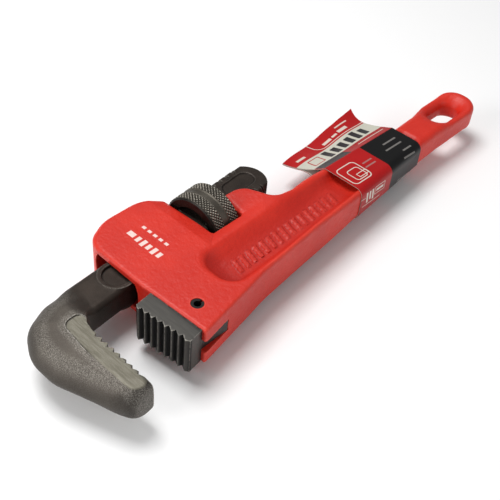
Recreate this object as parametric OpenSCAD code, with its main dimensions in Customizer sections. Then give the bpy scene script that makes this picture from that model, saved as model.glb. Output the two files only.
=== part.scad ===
// Straight pipe wrench, lying on its side: +X towards the hang hole, +Z up.
// The design origin is the heel jaw's pin; place() moves it to the model's own origin.

/* [Handle] */
// Distance from the heel jaw's pin to the end of the handle
handle_len = 181.5; // [160:0.5:220]
// Thickness of the housing that holds the jaws
body_t = 16.6; // [15:0.2:20]
// Width of the handle just behind the housing
grip_w = 22; // [19:0.5:26]
// Width of the handle at its neck, in front of the eye
neck_w = 15.2; // [12:0.2:18]
// Thickness of the handle at its neck
neck_t = 12.4; // [10:0.2:15]
// Thickness left between the two long side recesses
web_t = 7.2; // [5:0.2:9]
// Distance from one raised rib to the next in the side recesses
rib_pitch = 3.6; // [3:0.1:4]
// Number of raised ribs in each side recess
rib_count = 16; // [8:1:16]
// Width of the eye at the end of the handle
eye_w = 17.4; // [15:0.2:22]
// Thickness of the eye
eye_t = 13; // [10:0.2:16]
// Length of the hang slot through the eye
hang_len = 18; // [12:0.5:22]
// Width of the hang slot
hang_w = 8.8; // [6:0.2:10]

/* [Housing] */
// Height of the housing's crown above the heel jaw's pin
crown_h = 52.4; // [48:0.5:60]
// Length of the adjusting nut's window along the handle
window_len = 15; // [14:0.2:20]
// Height of the window's floor above the heel jaw's pin
window_floor = 22; // [21.5:0.1:23]

/* [Jaws] */
// Distance between the two rows of teeth at the throat
jaw_gap = 15.8; // [5:0.1:30]
// Thickness of both jaws across the teeth
jaw_t = 15.5; // [12:0.1:16.5]
// Distance from one tooth to the next
tooth_pitch = 2.88; // [2:0.02:3]
// Depth of a tooth
tooth_depth = 1.39; // [1:0.01:1.6]
// Share of the pitch that a tooth's steep flank takes
tooth_lean = 0.3; // [0.2:0.05:0.5]
// Number of teeth on the heel jaw
heel_teeth = 8; // [6:1:8]
// Number of teeth on the hook jaw
hook_teeth = 9; // [7:1:9]
// Tilt of the heel jaw's row of teeth, in degrees
heel_tilt = 6; // [4:0.5:7]
// Depth of the heel jaw's head behind its teeth
heel_head = 8.2; // [7:0.1:9]
// Thickness of the heel jaw's tang
tang_t = 5.2; // [4:0.1:6]
// Depth of the hook behind its teeth
hook_depth = 18.8; // [16:0.2:24]

/* [Shank and nut] */
// Thickness of the hook jaw's flat shank
shank_t = 10.6; // [8:0.1:11]
// Width of the shank where it has no thread
shank_w = 14.4; // [12:0.2:16]
// Lean of the shank, in degrees
shank_lean = 4.5; // [3.5:0.1:5.5]
// Radius of the thread's crests
thread_r = 9; // [8.4:0.1:9.6]
// Distance from one thread crest to the next
thread_pitch = 4; // [3:0.1:5]
// Depth of the thread
thread_depth = 1.5; // [1:0.1:1.8]
// Length of the threaded part of the shank
thread_len = 46; // [40:0.5:50]
// Length of the plain end behind the thread
shank_tail = 6.4; // [4:0.2:8]
// Radius of the adjusting nut
nut_r = 13; // [11.5:0.1:13.5]
// Length of the adjusting nut
nut_len = 12.8; // [10:0.1:13]
// Width of the plain band between the nut's two knurled bands
nut_band = 2.2; // [1:0.1:4]

/* [Pin and springs] */
// Radius of the heel jaw's roll pin
pin_r = 2.35; // [1.8:0.05:2.8]
// Wall of the roll pin
pin_wall = 1.05; // [0.5:0.05:1.2]
// Width of the roll pin's slit
pin_slit = 0.8; // [0.4:0.1:1.2]
// Thickness of the flat spring
leaf_t = 0.6; // [0.4:0.1:0.8]
// Width of the flat spring
leaf_w = 8; // [6:0.2:9]
// Length of the flat spring
leaf_len = 30; // [24:0.5:32]
// Outer radius of the coil spring
coil_r = 2.4; // [2:0.1:3]
// Radius of the coil spring's wire
wire_r = 0.35; // [0.2:0.05:0.4]
// Length of the coil spring as it sits
coil_len = 7.4; // [5:0.1:8]
// Radius of the rivet that joins the two springs
rivet_r = 0.9; // [0.6:0.05:1]

/* [Label] */
// Thickness of the label's card
card_t = 0.35; // [0.2:0.05:0.6]
// Length of the label along the handle
card_len = 44.6; // [30:0.2:46]
// Distance that the label's free flap stands out from the handle
flap_w = 21; // [10:0.5:22]
// Height of the waves in the flap
flap_wave = 2.2; // [0:0.1:2.4]

/* [Clearances] */
// Gap round the shank in its channel
shank_play = 1.2; // [0.8:0.1:1.4]
// Gap between the nut and its hollow in the window's floor
nut_play = 1.2; // [0.8:0.1:1.6]
// Gap between the nut's bore and the thread's crests
thread_play = 0.3; // [0.2:0.05:0.5]
// Gap between the tang and its slot
tang_play = 0.15; // [0.1:0.05:0.3]
// Gap between the pin and the tang's bore
pin_play = 0.05; // [0.02:0.01:0.1]
// Gap between the label and the handle
card_play = 0.1; // [0.05:0.05:0.3]
// Degrees that the hook jaw rocks open from where it sits
rock_open = 3.5; // [2:0.1:4]
// Degrees that the hook jaw rocks shut from where it sits
rock_shut = 1; // [0.5:0.1:1.4]

/* [Hidden] */

eps = 0.01;
round_fn = 64;
soft_fn = 32;
// Reach and half height of a cut that goes right through the wrench's thickness
through = 24;
half_through = through / 2;

// Half thicknesses
body_h = body_t / 2;
jaw_h = jaw_t / 2;
shank_h = shank_t / 2;
neck_h = neck_t / 2;
eye_h = eye_t / 2;
web_h = web_t / 2;
tang_h = tang_t / 2;

// Heel jaw: the throat tooth's tip, and the directions along and behind the row
heel_seat = 7.1;
heel_tip = [-(heel_seat + heel_head + 0.35), 11.7];
heel_down = [sin(heel_tilt), -cos(heel_tilt)];
heel_back = [cos(heel_tilt), sin(heel_tilt)];
heel_row = (heel_teeth - 1) * tooth_pitch;
heel_over = 1.6;
seat_gap = 0.05;
seat_low = [-heel_seat + 0.6, -10.8];
seat_high = [-heel_seat - 0.6, heel_tip[1] + 3.7];
function seat_x(y) = lookup(y, [[seat_low[1], seat_low[0]], [seat_high[1], seat_high[0]]]) - seat_gap;
tang_reach = 6;
tang_top = heel_tip[1];
tang_low = -8.6;

// Adjusting nut and shank: the nut's centre is the point the hook jaw rocks about
window_x = 29;
window_wall = window_x + window_len;
nut_x = window_x + 7.6;
nut_y = window_floor + 12;
thread_start = -19.3;
thread_end = thread_start + thread_len;
shank_rear = thread_end + shank_tail;
thread_core = thread_r - thread_depth;
bore_r = thread_r + thread_play;
channel_r = thread_r + shank_play;
channel_h = shank_h + 0.35;
hollow_r = nut_r + nut_play;
hollow_room = 0.6;

// Hook jaw
hook_tip_x = heel_tip[0] - jaw_gap;
hook_tip_y = heel_tip[1] + 1.6;
hook_row = (hook_teeth - 1) * tooth_pitch;
hook_low = hook_tip_y - hook_row - 4.2;
hook_x = hook_tip_x - hook_depth;
head_end = hook_tip_x + 6;
milled_depth = 0.4;
boss_x = -45.8;
boss_r = shank_w / 2 - 1.7;
// Stamped panel on the threaded end: place from the thread's end, length, width and depth
panel = [-5.5, 0.6, 15.4, 7.4, 0.6];
thread_x = nut_x + (thread_start + 1.5) * cos(shank_lean);

// Reach of the shank's channel on the hook's side of the nut, and its whole length
channel_reach = 60;
channel_len = 110;

// Raised ribs: size, slant, place of the first, and rise of each next one
rib = [1.4, 5.8, 0.8];
rib_slant = 1.6;
rib_first = [24, 2.8];
rib_rise = 0.07;
rib_sink = 0.1;

// Rim of the hang slot: depth of its flare and how far it opens
flare_depth = 2.2;
flare_wide = 3;

// Springs: the leaf lies just off the thread's crests, the coil stands below it
leaf_top = thread_r + 0.3;
leaf_start = -41;
leaf_under = leaf_top + leaf_t;
leaf_groove = leaf_under + 1;
coil_x = -26;
coil_pocket = 0.35;
leaf_room = [0.6, 0.3];
rivet_head_r = coil_r - 2 * wire_r - 0.25;
rivet_head_t = 0.5;

// Label
card_x = 88.2;

// Handle stations: [x, front edge, back edge, half thickness]
neck_x = handle_len - 36;
eye_x = handle_len - 16.5;
eye_y = 11.1;
neck_y = eye_y - 0.85;
grip_x = 81;
grip_y = 9.4;
stations = [
    [59, -2.6, 22.9, body_h - 0.1],
    [grip_x, grip_y - grip_w / 2 + 0.2, grip_y + grip_w / 2, body_h - 1],
    [neck_x - 12, neck_y - 0.5 - neck_w / 2, neck_y - 0.5 + neck_w / 2, neck_h],
    [neck_x + 3, neck_y - neck_w / 2, neck_y + neck_w / 2, neck_h]
];
function between(x, n) = lookup(x, [for (s = stations) [s[0], s[n]]]);

// The model's own origin: the middle of its box, on the surface it lies on
origin_x = (hook_x + handle_len) / 2;
origin_y = (hook_low + crown_h) / 2;
origin_z = nut_r;

// Corner i of a path of [x, y, r] points, rounded to its radius r
function corner(p, i) =
    let (n = len(p),
         a = p[(i + n - 1) % n],
         b = p[i],
         c = p[(i + 1) % n],
         u = [a[0] - b[0], a[1] - b[1]] / norm([a[0] - b[0], a[1] - b[1]]),
         v = [c[0] - b[0], c[1] - b[1]] / norm([c[0] - b[0], c[1] - b[1]]),
         half = acos(max(-1, min(1, u * v))) / 2,
         m = (u + v) / max(norm(u + v), 1e-6),
         centre = [b[0], b[1]] + m * b[2] / sin(half),
         turn = 90 - half,
         side = sign(u[1] * v[0] - u[0] * v[1]),
         steps = max(2, ceil(turn / 7)))
    b[2] == 0 || turn < 0.5 ? [[b[0], b[1]]] :
    [for (k = [-steps:steps])
        let (t = side * turn * k / steps)
        centre - b[2] * [m[0] * cos(t) - m[1] * sin(t), m[0] * sin(t) + m[1] * cos(t)]];
function rounded(p) = [for (i = [0:len(p) - 1]) each corner(p, i)];

// A row of teeth: tips along dir from start, valleys behind them
function teeth(start, dir, back, count) = [
    for (k = [0:count - 1])
        each [start + dir * k * tooth_pitch,
              start + dir * (k + tooth_lean) * tooth_pitch + back * tooth_depth]
];

module place() {
    translate([-origin_x, -origin_y, origin_z]) children();
}

// The shank's frame: its origin at the nut's centre, +X along the shank to its rear
module at_shank(rock = 0) {
    translate([nut_x, nut_y, 0]) rotate([0, 0, shank_lean + rock]) children();
}

module plate(points, h) {
    translate([0, 0, -h]) linear_extrude(2 * h) polygon(points);
}

module stadium(length, r, h) {
    for (s = [-1, 1])
        translate([s * (length / 2 - r), 0, -h]) cylinder(r = r, h = 2 * h, $fn = round_fn);
    translate([-(length / 2 - r), -r, -h]) cube([length - 2 * r, 2 * r, 2 * h]);
}

// Both sides of the wrench
module both_sides() {
    children();
    mirror([0, 0, 1]) children();
}

/* Handle and housing, one casting */

function body_outline() = rounded([
    [-heel_seat - 0.9, heel_tip[1] + 6.3, 0.3],
    [seat_high[0], seat_high[1], 0.3],
    [seat_low[0], seat_low[1], 1],
    [window_x, -4.9, 60],
    [stations[0][0], stations[0][1], 60],
    [stations[1][0], stations[1][1], 60],
    [stations[2][0], stations[2][1], 30],
    [stations[3][0], stations[3][1], 8],
    [eye_x - 8, eye_y - eye_w / 2, 10],
    [handle_len, eye_y - eye_w / 2, eye_w / 2 - 0.6],
    [handle_len, eye_y + eye_w / 2, eye_w / 2 - 0.6],
    [eye_x - 6, eye_y + eye_w / 2, 12],
    [stations[3][0], stations[3][2], 10],
    [stations[2][0], stations[2][2], 40],
    [stations[1][0], stations[1][2], 60],
    [69, 18.9, 12],
    [60.5, 20.2, 6],
    [55.2, 33.4, 8],
    [window_wall + 2.4, window_floor + 12.2, 0.6],
    [window_wall, window_floor, 0.8],
    [window_x, window_floor, 0.8],
    [window_x, crown_h - 5.5, 3],
    [20.5, crown_h, 16],
    [3, crown_h, 16],
    [-heel_seat - 0.4, crown_h - 5.6, 10]
]);

// Half thickness along the handle, seen from the side
module thickness_profile() {
    upper = [
        [-20, body_h],
        [stations[0][0], body_h],
        for (i = [1:3]) [stations[i][0], stations[i][3]],
        [eye_x - 7, eye_h],
        [handle_len + 5, eye_h]
    ];
    lower = [for (i = [len(upper) - 1:-1:0]) [upper[i][0], -upper[i][1]]];
    translate([0, 80, 0]) rotate([90, 0, 0]) linear_extrude(120) polygon(concat(upper, lower));
}

// Outline of the long side recess, shrunk by s all round
function recess_outline(s) = rounded([
    [13.6 + s, -3 + s * 1.4, max(1, 8 - 1.4 * s)],
    [40, -2.6 + s * 1.4, 40],
    [stations[2][0] + 2 - s, stations[2][1] + 2.6 + s * 0.6, 3 - s * 0.8],
    [stations[2][0] + 2 - s, stations[2][2] - 2.6 - s * 0.8, 3 - s * 0.8],
    [grip_x, between(grip_x, 2) - 3.6 - s * 1.6, 40],
    [40, 16.8 - s * 1.8, 40],
    [13.6 + s, 16 - s * 1.6, max(1, 8 - 1.4 * s)]
]);

module side_recess() {
    depth = body_h - web_h;
    hull() {
        translate([0, 0, web_h]) linear_extrude(eps) polygon(recess_outline(3));
        translate([0, 0, web_h + depth * 0.5]) linear_extrude(eps) polygon(recess_outline(1.3));
        translate([0, 0, body_h]) linear_extrude(1) polygon(recess_outline(0));
    }
}

// Plain slanted ribs raised along the recess floor
module raised_ribs() {
    for (k = [0:rib_count - 1])
        translate([rib_first[0] + k * rib_pitch, rib_first[1] + k * rib_rise, web_h - rib_sink])
            linear_extrude(rib[2])
                polygon([[0, 0], [rib[0], 0], [rib[0] + rib_slant, rib[1]], [rib_slant, rib[1]]]);
}

module shank_channel() {
    intersection() {
        union() {
            for (rock = [-rock_open, (rock_shut - rock_open) / 2, rock_shut])
                at_shank(rock)
                    rotate([0, 90, 0])
                        translate([0, 0, -channel_reach])
                            cylinder(r = channel_r, h = channel_len, $fn = round_fn);
            at_shank()
                translate([window_wall - nut_x - 2, 0, -body_h])
                    cube([30, 30, body_t]);
        }
        translate([-40, -40, -channel_h]) cube([140, 120, 2 * channel_h]);
    }
}

// Groove below the shank for the flat spring, and the coil spring's pocket
module spring_room() {
    at_shank() {
        translate([leaf_start - leaf_room[0], -leaf_groove, -leaf_w / 2 - leaf_room[1]])
            cube([leaf_len + 2 * leaf_room[0], leaf_groove - 4, leaf_w + 2 * leaf_room[1]]);
        translate([coil_x, -leaf_groove + eps, 0])
            rotate([90, 0, 0])
                cylinder(r = coil_r + coil_pocket, h = coil_len - 0.8, $fn = round_fn);
    }
}

module nut_hollow() {
    intersection() {
        at_shank()
            rotate([0, 90, 0])
                translate([0, 0, -half_through])
                    cylinder(r = hollow_r, h = through, $fn = round_fn);
        translate([window_x, 0, -through]) cube([window_len + hollow_room, 80, 2 * through]);
    }
}

module tang_slot() {
    translate([-30, -30, -tang_h - tang_play])
        cube([30 + tang_reach + 0.5, 30 + tang_top + 0.6, tang_t + 2 * tang_play]);
}

module hang_slot() {
    translate([eye_x - 0.6, eye_y, 0]) {
        stadium(hang_len, hang_w / 2, 20);
        both_sides()
            hull()
                for (s = [-1, 1])
                    translate([s * (hang_len - hang_w) / 2, 0, eye_h - flare_depth])
                        cylinder(r1 = hang_w / 2, r2 = hang_w / 2 + flare_wide,
                                 h = flare_depth + 0.1, $fn = soft_fn);
    }
}

module handle_body() {
    color("#cf3a31") place() difference() {
        union() {
            difference() {
                intersection() {
                    plate(body_outline(), half_through);
                    thickness_profile();
                }
                both_sides() side_recess();
            }
            both_sides() raised_ribs();
        }
        shank_channel();
        spring_room();
        nut_hollow();
        tang_slot();
        hang_slot();
        translate([0, 0, -half_through]) cylinder(r = pin_r, h = through, $fn = round_fn);
    }
}

/* Hook jaw: hook, shank and thread in one forging */

function shank_edge(x, side) = nut_y - (nut_x - x) * tan(shank_lean) + side * shank_w / 2;

function hook_outline() = rounded([
    [thread_x, shank_edge(thread_x, 1), 0],
    [-36, 36.1, 12],
    [-44.9, 32.3, 10],
    [hook_x, 23, 16],
    [hook_x, 12, 14],
    [hook_x + 6.6, -7.2, 12],
    [hook_x + 9.8, hook_low, 3.4],
    [hook_tip_x - 0.2, hook_low, 0.6],
    each [for (p = [hook_teeth * 2 - 2:-1:0])
        let (t = teeth([hook_tip_x, hook_tip_y], [0, -1], [-1, 0], hook_teeth)[p])
        [t[0], t[1], 0]],
    [hook_tip_x - 0.3, hook_tip_y + 1.2, 0.5],
    [hook_tip_x + 0.6, hook_tip_y + 5.4, 4],
    [hook_tip_x + 3.2, hook_tip_y + 8.6, 3],
    [thread_x, shank_edge(thread_x, -1), 0]
]);

module thread() {
    rings = floor(thread_len / thread_pitch);
    flank = thread_pitch * 0.28;
    profile = [
        [0, 0],
        for (k = [0:rings - 1])
            let (x = k * thread_pitch)
            each [[thread_core, x], [thread_r, x + flank],
                  [thread_r, x + thread_pitch / 2], [thread_core, x + thread_pitch / 2 + flank]],
        [thread_core, thread_len - 1],
        [thread_r - 0.3, thread_len],
        [thread_r - 0.3, thread_len + shank_tail],
        [0, thread_len + shank_tail]
    ];
    translate([thread_start, 0, 0]) rotate([0, 90, 0]) rotate_extrude($fn = round_fn) polygon(profile);
}

// The threaded end: rings cut to the shank's thickness, with a rounded tail
module threaded_end() {
    edge = thread_r + 2;
    difference() {
        intersection() {
            thread();
            plate(rounded([
                [thread_start - 2, -edge, 0],
                [shank_rear - 2, -edge, 9],
                [shank_rear, edge, 9],
                [thread_start - 2, edge, 0]
            ]), shank_h);
        }
        both_sides()
            translate([thread_end + panel[0], panel[1], shank_h])
                stadium(panel[2], panel[3] / 2, panel[4]);
    }
}

// Flat milled beside the teeth, its outer edge where the forging swells
function milled_outline() = rounded([
    [hook_tip_x - 1.5, hook_tip_y + 10.3, 3],
    [hook_tip_x - 5.7, hook_tip_y + 9.7, 3],
    [hook_tip_x - 6.7, hook_tip_y - 1.3, 10],
    [hook_tip_x - 5.9, hook_tip_y - 17.3, 14],
    [hook_tip_x - 5.1, hook_low + 0.4, 1.5],
    [hook_tip_x + 4, hook_low - 4, 0],
    [hook_tip_x + 4, hook_tip_y + 6, 0]
]);

module hook_jaw() {
    color("#6f665f") place() difference() {
        union() {
            plate(hook_outline(), shank_h);
            intersection() {
                plate(hook_outline(), jaw_h);
                translate([hook_x - 5, hook_low - 5, -jaw_t])
                    cube([head_end - hook_x + 5, 80, 2 * jaw_t]);
            }
            at_shank() threaded_end();
        }
        both_sides()
            at_shank()
                translate([boss_x, 0, shank_h - 0.5])
                    cylinder(r = boss_r, h = 1, $fn = round_fn);
        both_sides()
            translate([0, 0, jaw_h - milled_depth])
                linear_extrude(1) polygon(milled_outline());
    }
}

/* Heel jaw: toothed block with a tang that the pin crosses */

function heel_outline() =
    let (last = heel_tip + heel_down * (heel_row + heel_over),
         first = heel_tip - heel_down * heel_over,
         heel_top = first[1] + heel_head * sin(heel_tilt),
         heel_foot = last[1] + heel_head * sin(heel_tilt))
    concat(
        [[seat_x(heel_top), heel_top], first + heel_back * tooth_depth * 0.8],
        [for (p = [0:heel_teeth * 2 - 2])
            teeth(heel_tip, heel_down, heel_back, heel_teeth)[p]],
        [last + heel_back * tooth_depth * 0.5, [seat_x(heel_foot), heel_foot]]
    );

module heel_jaw() {
    color("#5f5c58") place() difference() {
        union() {
            plate(heel_outline(), jaw_h);
            translate([-9, tang_low, -tang_h])
                cube([9 + tang_reach, tang_top - tang_low, tang_t]);
        }
        translate([0, 0, -half_through]) cylinder(r = pin_r + pin_play, h = through, $fn = round_fn);
    }
}

module heel_jaw_pin() {
    color("#2b2826") place()
        translate([0, 0, -body_h + 0.3])
            linear_extrude(body_t - 0.6)
                difference() {
                    circle(r = pin_r, $fn = round_fn);
                    circle(r = pin_r - pin_wall, $fn = round_fn);
                    translate([0, -pin_slit / 2]) square([pin_r * 2, pin_slit]);
                }
}

/* Adjusting nut */

module adjusting_nut() {
    chamfer = 0.6;
    groove = 0.5;
    bevel = 0.4;
    half = nut_len / 2;
    band = nut_band / 2;
    color("#6a635b") place() at_shank()
        rotate([0, 90, 0])
            rotate_extrude($fn = round_fn)
                polygon([
                    [bore_r, -half], [nut_r - chamfer, -half], [nut_r, -half + chamfer],
                    [nut_r, -band - bevel], [nut_r - groove, -band],
                    [nut_r - groove, band], [nut_r, band + bevel],
                    [nut_r, half - chamfer], [nut_r - chamfer, half], [bore_r, half]
                ]);
}

/* Springs */

module flat_spring() {
    color("#8c8f92") place() at_shank() difference() {
        translate([leaf_start, -leaf_under, -leaf_w / 2]) cube([leaf_len, leaf_t, leaf_w]);
        translate([coil_x, 0, 0])
            rotate([90, 0, 0])
                cylinder(r = rivet_r + pin_play, h = leaf_under + 2, $fn = round_fn);
    }
}

module spring_rivet() {
    stem = leaf_t + rivet_head_t;
    color("#77797b") place() at_shank()
        translate([coil_x, -leaf_top - pin_play, 0])
            rotate([90, 0, 0]) {
                cylinder(r = rivet_r, h = stem, $fn = round_fn);
                translate([0, 0, leaf_t])
                    cylinder(r = rivet_head_r, h = rivet_head_t, $fn = round_fn);
            }
}

// Closed coil: rings of the wire's section along a helix
module coil_spring() {
    turns = 5;
    steps = 18;
    sides = 8;
    lead = coil_len - 2 * wire_r - 0.2;
    mean_r = coil_r - wire_r;
    count = turns * steps;
    ring = function (i)
        let (a = 360 * i / steps,
             y = lead * i / count)
        [for (k = [0:sides - 1])
            let (t = 360 * k / sides,
                 r = mean_r + wire_r * cos(t))
            [r * cos(a), r * sin(a), y + wire_r * sin(t)]];
    points = [for (i = [0:count]) each ring(i)];
    faces = [
        [for (k = [0:sides - 1]) k],
        [for (k = [sides - 1:-1:0]) count * sides + k],
        for (i = [0:count - 1])
            for (k = [0:sides - 1])
                each [[i * sides + k, (i + 1) * sides + k, (i + 1) * sides + (k + 1) % sides],
                      [i * sides + k, (i + 1) * sides + (k + 1) % sides, i * sides + (k + 1) % sides]]
    ];
    color("#9a9c9e") place() at_shank()
        translate([coil_x, -leaf_under - wire_r - 0.05, 0])
            rotate([90, 0, 0])
                polyhedron(points = points, faces = faces);
}

/* Label: a printed card wrapped round the grip, its ends glued into a flap */

// The grip's cross-section grown by g, over the label's length
module grip_core(g, over) {
    x0 = card_x - over;
    x1 = card_x + card_len + over;
    edge = [for (i = [0:6]) x0 + (x1 - x0) * i / 6];
    plan = concat([for (x = edge) [x, between(x, 1) - g]],
                  [for (i = [6:-1:0]) [edge[i], between(edge[i], 2) + g]]);
    side = concat([for (x = edge) [x, between(x, 3) + g]],
                  [for (i = [6:-1:0]) [edge[i], -between(edge[i], 3) - g]]);
    intersection() {
        plate(plan, 20);
        translate([0, 60, 0]) rotate([90, 0, 0]) linear_extrude(100) polygon(side);
    }
}

module flap() {
    x0 = card_x;
    x1 = card_x + card_len + 2;
    n = 24;
    wave = [for (i = [0:n])
        let (x = x0 + (x1 - x0) * i / n)
        [x, flap_wave * sin(360 * i / n * 1.25 - 60)]];
    strip = concat(wave, [for (i = [n:-1:0]) wave[i] + [0, card_t]]);
    back = between(card_x, 2);
    intersection() {
        translate([0, back + flap_w + 20, 0]) rotate([90, 0, 0]) linear_extrude(60) polygon(strip);
        plate([
            [x0, back - 3], [x1 - 2, between(x1, 2) + 0.2],
            [x1, back + flap_w], [x0 - 1, back + flap_w - 2.5]
        ], 20);
    }
}

module label_card() {
    color("#b3201f") place() difference() {
        union() {
            grip_core(card_play + card_t, 0);
            flap();
        }
        grip_core(card_play, 1);
    }
}

handle_body();
hook_jaw();
heel_jaw();
heel_jaw_pin();
adjusting_nut();
flat_spring();
coil_spring();
spring_rivet();
label_card();
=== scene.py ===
from math import cos, pi, radians, sin, tan

import bpy
import numpy as np
from mathutils import Matrix, Vector


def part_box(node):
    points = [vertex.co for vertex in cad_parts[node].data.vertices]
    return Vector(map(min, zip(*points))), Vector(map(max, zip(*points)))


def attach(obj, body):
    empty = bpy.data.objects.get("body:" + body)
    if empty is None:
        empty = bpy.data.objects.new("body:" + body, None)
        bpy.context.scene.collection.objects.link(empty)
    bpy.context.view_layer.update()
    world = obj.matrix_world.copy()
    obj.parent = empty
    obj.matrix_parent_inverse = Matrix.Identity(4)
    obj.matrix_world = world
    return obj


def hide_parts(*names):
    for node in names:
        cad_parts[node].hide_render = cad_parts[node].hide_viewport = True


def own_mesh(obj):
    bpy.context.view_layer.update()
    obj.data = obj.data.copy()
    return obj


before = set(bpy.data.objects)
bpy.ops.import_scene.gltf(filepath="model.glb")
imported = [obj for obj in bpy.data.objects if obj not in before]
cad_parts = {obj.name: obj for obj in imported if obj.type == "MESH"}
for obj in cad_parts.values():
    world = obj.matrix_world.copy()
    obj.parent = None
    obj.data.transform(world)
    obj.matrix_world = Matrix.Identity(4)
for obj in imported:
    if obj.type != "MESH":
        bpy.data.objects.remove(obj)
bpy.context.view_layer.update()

# ---------------------------------------------------------------------------
# The bench view. The wrench lies on its side on a pale surface, seen from above
# the jaws. Sizes below are millimetres from the heel jaw's pin, at mid thickness:
# +X runs to the hang hole, +Y to the nut's side and +Z up.
# ---------------------------------------------------------------------------
pin_low, pin_high = (np.array(c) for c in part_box("heel_jaw_pin"))
pin_centre = (pin_low + pin_high) / 2


def placed(points):
    """Design millimetres to metres in the frame: the pin's centre plus a thousandth of each."""
    return pin_centre + np.asarray(points, float) / 1000


def place_camera(eye, azimuth, elevation, roll, lens):
    """A camera at eye whose back leans by azimuth and elevation, turned by roll about its own axis."""
    a, e, r = radians(azimuth), radians(elevation), radians(roll)
    back = Vector((sin(a) * cos(e), -cos(a) * cos(e), sin(e)))
    level = Vector((cos(a), sin(a), 0))
    upright = back.cross(level)
    right = cos(r) * level + sin(r) * upright
    camera = bpy.data.objects.new("camera", bpy.data.cameras.new("camera"))
    camera.data.sensor_width = CAMERA_SENSOR
    camera.data.lens = lens
    camera.data.clip_start = NEAR_CLIP
    spot = Matrix((right, back.cross(right), back)).transposed().to_4x4()
    spot.translation = Vector(placed(eye))
    camera.matrix_world = spot
    bpy.context.scene.collection.objects.link(camera)
    bpy.context.scene.camera = camera


CAMERA_SENSOR = 36
NEAR_CLIP = 0.01
place_camera(eye=(-137.2, -130.4, 213.5), azimuth=-51.08, elevation=43.47, roll=6.13, lens=61.16)


def soft_box(name, spot, aim, size, watts):
    """A square area light at spot, turned to face aim."""
    lamp = bpy.data.objects.new(name, bpy.data.lights.new(name, "AREA"))
    lamp.data.size = size
    lamp.data.energy = watts
    lamp.location = spot
    lamp.rotation_euler = (Vector(aim) - Vector(spot)).to_track_quat("-Z", "Y").to_euler()
    bpy.context.scene.collection.objects.link(lamp)


soft_box("overhead", (-0.05, 0.25, 0.7), (0.02, 0, 0), 0.35, 3.9)
soft_box("left_fill", (-0.6, 0.15, 0.3), (0, 0, 0), 0.3, 1.9)
soft_box("front_fill", (0.15, -0.7, 0.3), (0, 0, 0), 0.5, 0.9)


class Term:
    """A shader socket that adds up like a number: each operator adds the Math node of its own sign."""

    def __init__(self, paint, socket):
        """Keeps the material and the output socket that this number comes from."""
        self.paint = paint
        self.socket = socket

    def maths(self, operation, *values):
        """One Math node of this operation, with the values on its sockets in order."""
        inputs = dict(enumerate(values))
        return self.paint.node("ShaderNodeMath", {"operation": operation}, inputs)

    def __add__(self, other):
        """Self plus other."""
        return self.maths("ADD", self, other)

    def __sub__(self, other):
        """Self less other."""
        return self.maths("SUBTRACT", self, other)

    def __rsub__(self, other):
        """Other less self."""
        return self.maths("SUBTRACT", other, self)

    def __mul__(self, other):
        """Self times other."""
        return self.maths("MULTIPLY", self, other)

    def __abs__(self):
        """Self without its sign."""
        return self.maths("ABSOLUTE", self)

    __radd__ = __add__
    __rmul__ = __mul__

    def root(self):
        """The square root."""
        return self.maths("SQRT", self)

    def either(self, other):
        """The larger of the two."""
        return self.maths("MAXIMUM", self, other)

    def both(self, other):
        """The smaller of the two."""
        return self.maths("MINIMUM", self, other)

    def rise(self, low, high):
        """0 below low, 1 above high and a smooth step between; low above high turns it round."""
        settings = {"interpolation_type": "SMOOTHSTEP"}
        return self.paint.node("ShaderNodeMapRange", settings, {0: self, 1: low, 2: high})

    def tick(self, centre, half, soft):
        """1 within half of centre, fading to 0 over soft."""
        return abs(self - centre).rise(half + soft, half)


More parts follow.
